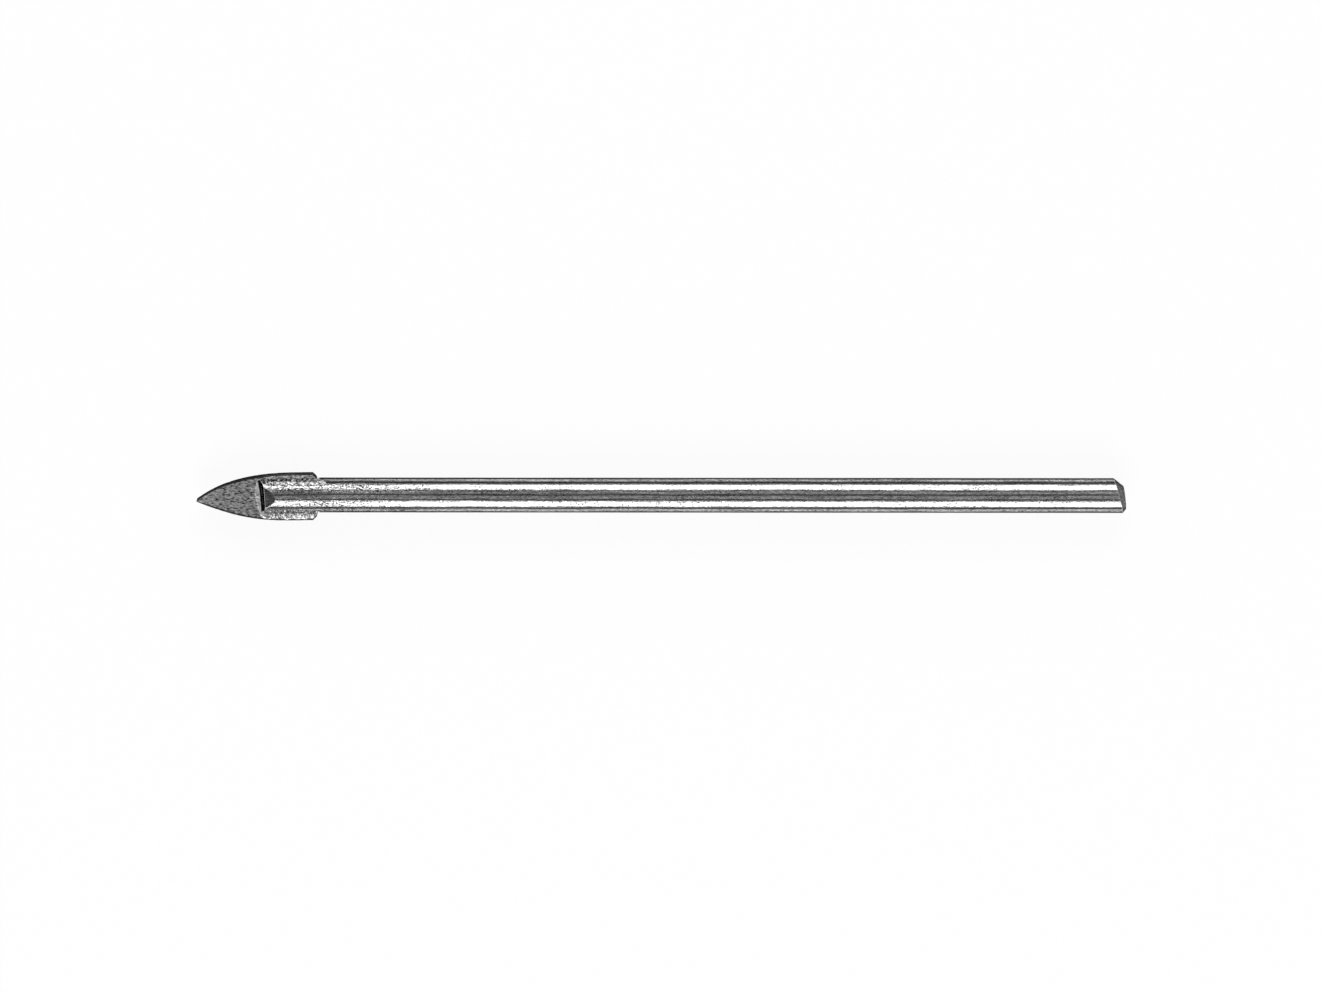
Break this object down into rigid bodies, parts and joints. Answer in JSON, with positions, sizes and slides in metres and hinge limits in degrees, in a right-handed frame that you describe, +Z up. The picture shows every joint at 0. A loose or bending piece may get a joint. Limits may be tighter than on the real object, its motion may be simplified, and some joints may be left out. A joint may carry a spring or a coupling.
{
  "type": "glass and tile drill bit",
  "caption": "Spear-point carbide bit for glass and tile: a ground plate brazed into the slotted end of a slim round steel shank.",
  "frame": {"origin": "centre line of the shank where it meets the rear end face", "axes": "X runs along the shank, with the spear point at -X and the rear end at +X; Z is up, square to the flat faces of the carbide plate, as the bit lies on a bench"},
  "size_m": [0.0603, 0.003, 0.0022],
  "materials": {
    "drawn_steel": "drawn and polished along its length, stained and speckled near the braze",
    "ground_carbide": "sintered grey, ground with a fine mottled grain",
    "silver_braze": "lumpy, as it flowed and set"
  },
  "bodies": {
    "root": {"shank": "drawn_steel", "carbide_tip": "ground_carbide", "braze": "silver_braze"}
  },
  "joints": []
}
